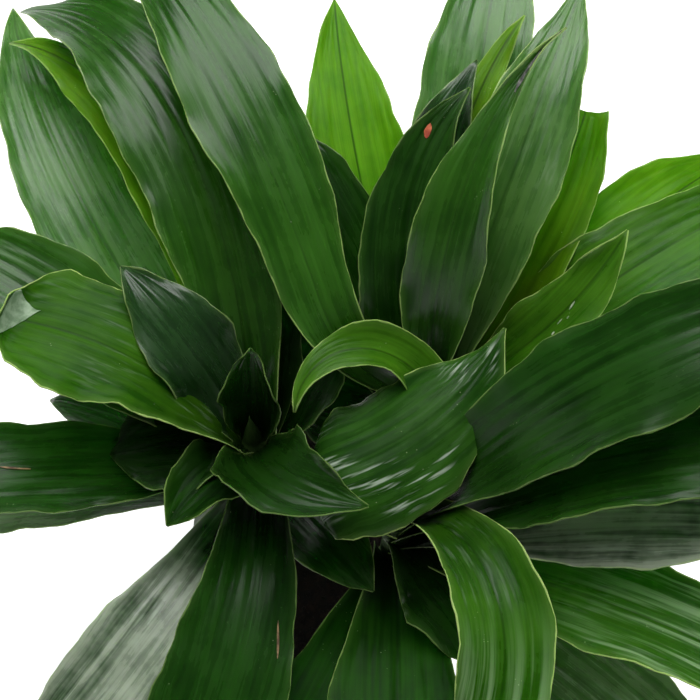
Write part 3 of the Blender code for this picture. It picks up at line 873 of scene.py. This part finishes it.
class DRACAENA_OT_make_soil(bpy.types.Operator):
    """Make the soil with its lumps and loose crumbs"""

    bl_idname = "dracaena.make_soil"
    bl_label = "Soil"

    def execute(self, context):
        pot = context.scene.dracaena_pot
        bottom = POT_FLOOR + GAP
        edge = inner_radius(pot, SOIL_LEVEL) - GAP
        profile = []
        for i in range(SOIL_RINGS + 1):
            part = i / SOIL_RINGS
            profile.append((edge * part, SOIL_LEVEL + SOIL_CROWN * (1.0 - part**2)))
        profile.append((inner_radius(pot, bottom + SOIL_CHAMFER) - GAP, bottom + SOIL_CHAMFER))
        profile.append((inner_radius(pot, bottom) - GAP - SOIL_CHAMFER, bottom))
        profile.append((0.0, bottom))
        material = soil_material()
        piece = turned("soil_bed", profile, SOIL_STEPS, (0, 0), material)
        for vertex in piece.data.vertices:
            if vertex.co.z > SOIL_LEVEL - 0.001:
                rim = 1.0 - smooth(0.9 * edge, edge, math.hypot(vertex.co.x, vertex.co.y))
                lump = LUMP_HEIGHT * noise.noise(vertex.co * LUMPS_PER_METRE)
                lump += FINE_LUMP_HEIGHT * noise.noise(vertex.co * FINE_LUMPS_PER_METRE)
                vertex.co.z += float(rim) * lump
        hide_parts("soil")
        crumbs = bmesh.new()
        for i in range(CRUMB_COUNT):
            angle = GOLDEN_ANGLE * i
            reach = (edge - CRUMB_EDGE) * math.sqrt((i + 0.5) / CRUMB_COUNT)
            spot = Vector((reach * math.cos(angle), reach * math.sin(angle), 0.0))
            if min((spot - Vector((*foot, 0.0))).length for foot, _leaves in HEADS.values()) < CRUMB_GAP:
                continue
            spread = Vector([noise.noise(800.0 * spot + Vector((0.0, 0.0, shift))) for shift in CRUMB_SHIFTS])
            size = CRUMB_RADIUS + CRUMB_SPREAD * abs(spread.x)
            spot.z = SOIL_LEVEL + SOIL_CROWN * (1.0 - (reach / edge) ** 2)
            spot.z += LUMP_HEIGHT * noise.noise(spot * LUMPS_PER_METRE) + 0.3 * size
            turn = Matrix.Rotation(6.0 * spread.y, 4, "X") @ Matrix.Rotation(6.0 * spread.z, 4, "Z")
            stretch = Matrix.Diagonal((1.0, 0.75, 0.6 + 0.3 * abs(spread.z), 1.0))
            bmesh.ops.create_icosphere(
                crumbs, subdivisions=1, radius=size, matrix=Matrix.Translation(spot) @ turn @ stretch
            )
        add_piece("soil_crumbs", crumbs, material)
        return {"FINISHED"}


class DRACAENA_OT_make_canes(bpy.types.Operator):
    """Make the woody canes with a ring at each old leaf scar"""

    bl_idname = "dracaena.make_canes"
    bl_label = "Canes"

    def execute(self, context):
        material = bark_material()
        for number, (name, (foot, _leaves)) in enumerate(HEADS.items()):
            top = STEM_FOOT - GAP
            profile = [(0.0, top), (CANE_RADIUS - 0.0006, top), (CANE_RADIUS, top - 0.0008)]
            height = top - SCAR_PITCH
            while height > SOIL_LEVEL + SOIL_CROWN:
                scar = height + SCAR_DRIFT * math.sin(7.0 * number + 900.0 * height)
                profile += [(CANE_RADIUS + out, scar + up) for out, up in CANE_SCAR]
                height -= SCAR_PITCH
            profile += [(CANE_RADIUS, CANE_FOOT), (0.0, CANE_FOOT)]
            piece = turned("cane_%s_bark" % name, profile, STEM_STEPS, foot, material)
            for vertex in piece.data.vertices:
                if vertex.co.z < top - 0.001:
                    vertex.co.z += CANE_ROUGHNESS * noise.noise(vertex.co * 60.0)
            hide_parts("cane_" + name)
        return {"FINISHED"}


class DRACAENA_OT_make_stems(bpy.types.Operator):
    """Make the green stems inside the heads, each with a furled young leaf at its top"""

    bl_idname = "dracaena.make_stems"
    bl_label = "Stems"

    def execute(self, context):
        material = stem_material()
        for name, (foot, _leaves) in HEADS.items():
            profile = []
            for i in range(SPEAR_STEPS + 1):
                t = i / SPEAR_STEPS
                radius = SPEAR_RADIUS * math.sin(math.pi / 2 * t) ** 1.6
                profile.append((radius, STEM_TOP + SPEAR_HEIGHT - SPEAR_HEIGHT * t))
            for i in range(STEM_SCARS):
                part = 1.0 - (i + 0.5) / STEM_SCARS
                height = STEM_FOOT + (STEM_TOP - STEM_FOOT) * part
                radius = STEM_FOOT_RADIUS + (STEM_TOP_RADIUS - STEM_FOOT_RADIUS) * part
                profile += [(radius + out, height + up) for out, up in STEM_SCAR]
            profile += [(STEM_FOOT_RADIUS, STEM_FOOT), (0.0, STEM_FOOT)]
            piece = turned("stem_" + name, profile, STEM_STEPS, foot, material)
            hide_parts("head_" + name)
        return {"FINISHED"}


class DRACAENA_OT_make_leaves(bpy.types.Operator):
    """Make the leaves of one head, each a piece of its own"""

    bl_idname = "dracaena.make_leaves"
    bl_label = "Leaves"
    head: bpy.props.EnumProperty(
        name="Head",
        description="The head that the leaves grow on",
        items=[(name, name.capitalize(), "The %s head" % name) for name in HEADS],
    )

    def execute(self, context):
        settings = context.scene.dracaena_leaves
        foot, leaves = HEADS[self.head]
        for number, leaf in enumerate(leaves, start=1):
            name = "leaf_%s_%02d" % (self.head, number)
            seed = 3.7 * number + 61.0 * foot[0]
            make_blade(name, leaf, foot, blade_material(leaf.finish), settings, seed)
        return {"FINISHED"}


class DRACAENA_OT_make_marks(bpy.types.Operator):
    """Make the scratches, spots, specks, dry places and the folded tip that single blades carry"""

    bl_idname = "dracaena.make_marks"
    bl_label = "Marks"

    def execute(self, context):
        settings = context.scene.dracaena_leaves
        for kind in MARK_COLOURS:
            shape = bmesh.new()
            for mark in MARKS:
                if mark.kind == kind:
                    add_mark(shape, mark, settings)
            piece = add_piece("mark_" + kind, shape, mark_material(kind))
            thickness = piece.modifiers.new("Thickness", "SOLIDIFY")
            thickness.thickness = MARK_LIFT
            thickness.offset = 0.0
        return {"FINISHED"}


class DRACAENA_OT_make_studio(bpy.types.Operator):
    """Make the pale floor, the soft boxes and the camera"""

    bl_idname = "dracaena.make_studio"
    bl_label = "Studio"

    def execute(self, context):
        studio = context.scene.dracaena_studio
        shape = bmesh.new()
        bmesh.ops.create_grid(shape, x_segments=8, y_segments=8, size=FLOOR_HALF_WIDTH)
        bmesh.ops.translate(shape, verts=shape.verts, vec=(0.0, 0.0, -0.0005))
        floor = new_object("studio_floor", shape)
        material, tree, shader = new_material("pale_floor")
        plug(tree, tuple(studio.floor), shader.inputs["Base Color"])
        shader.inputs["Roughness"].default_value = 0.7
        plug(tree, (1.0, 1.0, 1.0), shader.inputs["Emission Color"])
        shader.inputs["Emission Strength"].default_value = FLOOR_GLOW
        floor.data.materials.append(material)
        world = bpy.data.worlds.new("studio_air")
        world.use_nodes = True
        air = world.node_tree
        # The pale table goes on to the horizon, and above it the room is dim, behind an even pale backdrop.
        direction = air.nodes.new("ShaderNodeTexCoord").outputs["Generated"]
        height = node(air, "ShaderNodeSeparateXYZ", Vector=direction).outputs["Z"]
        wall = ramp(air, height, 0.02, 0.25, 1.0, 0.0)
        room = calculate(air, "ADD", calculate(air, "MULTIPLY", wall, studio.walls), studio.air)
        seen = air.nodes.new("ShaderNodeLightPath").outputs["Is Camera Ray"]
        change = calculate(air, "SUBTRACT", studio.backdrop, room)
        strength = calculate(air, "ADD", room, calculate(air, "MULTIPLY", seen, change))
        plug(air, strength, air.nodes["Background"].inputs["Strength"])
        plug(air, (1.0, 1.0, 1.0), air.nodes["Background"].inputs["Color"])
        context.scene.world = world
        # The low wide box behind the plant gives the leaves their sheen, and the one above only lights them.
        for name, power, width, height, place, target, glossy in (
            ("back_soft_box", studio.back_light, 1.5, 0.9, (0.0, 0.95, 1.75), (0.0, 0.0, 0.30), True),
            ("top_soft_box", studio.top_light, 1.3, 1.3, (-0.25, 0.45, 1.70), (0.0, 0.0, 0.25), False),
            ("side_soft_box", studio.fill_light, 1.2, 1.0, (1.50, -0.60, 1.00), (0.0, 0.0, 0.30), False),
        ):
            light = bpy.data.lights.new(name, "AREA")
            light.shape = "RECTANGLE"
            light.energy = power
            light.size = width
            light.size_y = height
            lamp = bpy.data.objects.new(name, light)
            lamp.location = place
            lamp.rotation_euler = (Vector(target) - Vector(place)).to_track_quat("-Z", "Y").to_euler()
            lamp.visible_camera = False
            lamp.visible_glossy = glossy
            context.scene.collection.objects.link(lamp)
        camera = bpy.data.cameras.new("photo_view")
        camera.sensor_width = SENSOR_WIDTH
        camera.lens = SENSOR_WIDTH / 2.0 / math.tan(studio.view_angle / 2.0)
        camera.clip_start = 0.01
        camera.clip_end = 50.0
        view = bpy.data.objects.new("photo_view", camera)
        back = Vector((0.0, -math.cos(studio.elevation), math.sin(studio.elevation)))
        view.location = Vector(CAMERA_TARGET) + back * studio.distance
        view.rotation_euler = (-back).to_track_quat("-Z", "Y").to_euler()
        context.scene.collection.objects.link(view)
        context.scene.camera = view
        context.scene.view_settings.view_transform = "Standard"
        return {"FINISHED"}


class DRACAENA_PT_panel(bpy.types.Panel):
    """Lists the pieces of the plant"""

    bl_idname = "DRACAENA_PT_panel"
    bl_label = "Potted Dracaena"
    bl_space_type = "VIEW_3D"
    bl_region_type = "UI"
    bl_category = "Dracaena"

    def draw(self, context):
        scene = context.scene
        for settings in (scene.dracaena_pot, scene.dracaena_leaves, scene.dracaena_studio):
            box = self.layout.box()
            for name in settings.__annotations__:
                box.prop(settings, name)
        for name in ("make_pot", "make_soil", "make_canes", "make_stems", "make_marks", "make_studio"):
            self.layout.operator("dracaena." + name)
        for head in HEADS:
            self.layout.operator("dracaena.make_leaves", text=head.capitalize() + " leaves").head = head


CLASSES = (
    PotSettings,
    LeafSettings,
    StudioSettings,
    DRACAENA_OT_make_pot,
    DRACAENA_OT_make_soil,
    DRACAENA_OT_make_canes,
    DRACAENA_OT_make_stems,
    DRACAENA_OT_make_leaves,
    DRACAENA_OT_make_marks,
    DRACAENA_OT_make_studio,
    DRACAENA_PT_panel,
)


def register():
    for item in CLASSES:
        bpy.utils.register_class(item)
    bpy.types.Scene.dracaena_pot = bpy.props.PointerProperty(type=PotSettings)
    bpy.types.Scene.dracaena_leaves = bpy.props.PointerProperty(type=LeafSettings)
    bpy.types.Scene.dracaena_studio = bpy.props.PointerProperty(type=StudioSettings)


def unregister():
    del bpy.types.Scene.dracaena_studio
    del bpy.types.Scene.dracaena_leaves
    del bpy.types.Scene.dracaena_pot
    for item in reversed(CLASSES):
        bpy.utils.unregister_class(item)


def main():
    register()
    bpy.ops.dracaena.make_pot()
    bpy.ops.dracaena.make_soil()
    bpy.ops.dracaena.make_canes()
    bpy.ops.dracaena.make_stems()
    for head in HEADS:
        bpy.ops.dracaena.make_leaves(head=head)
    bpy.ops.dracaena.make_marks()
    bpy.ops.dracaena.make_studio()


if __name__ == "__main__":
    main()
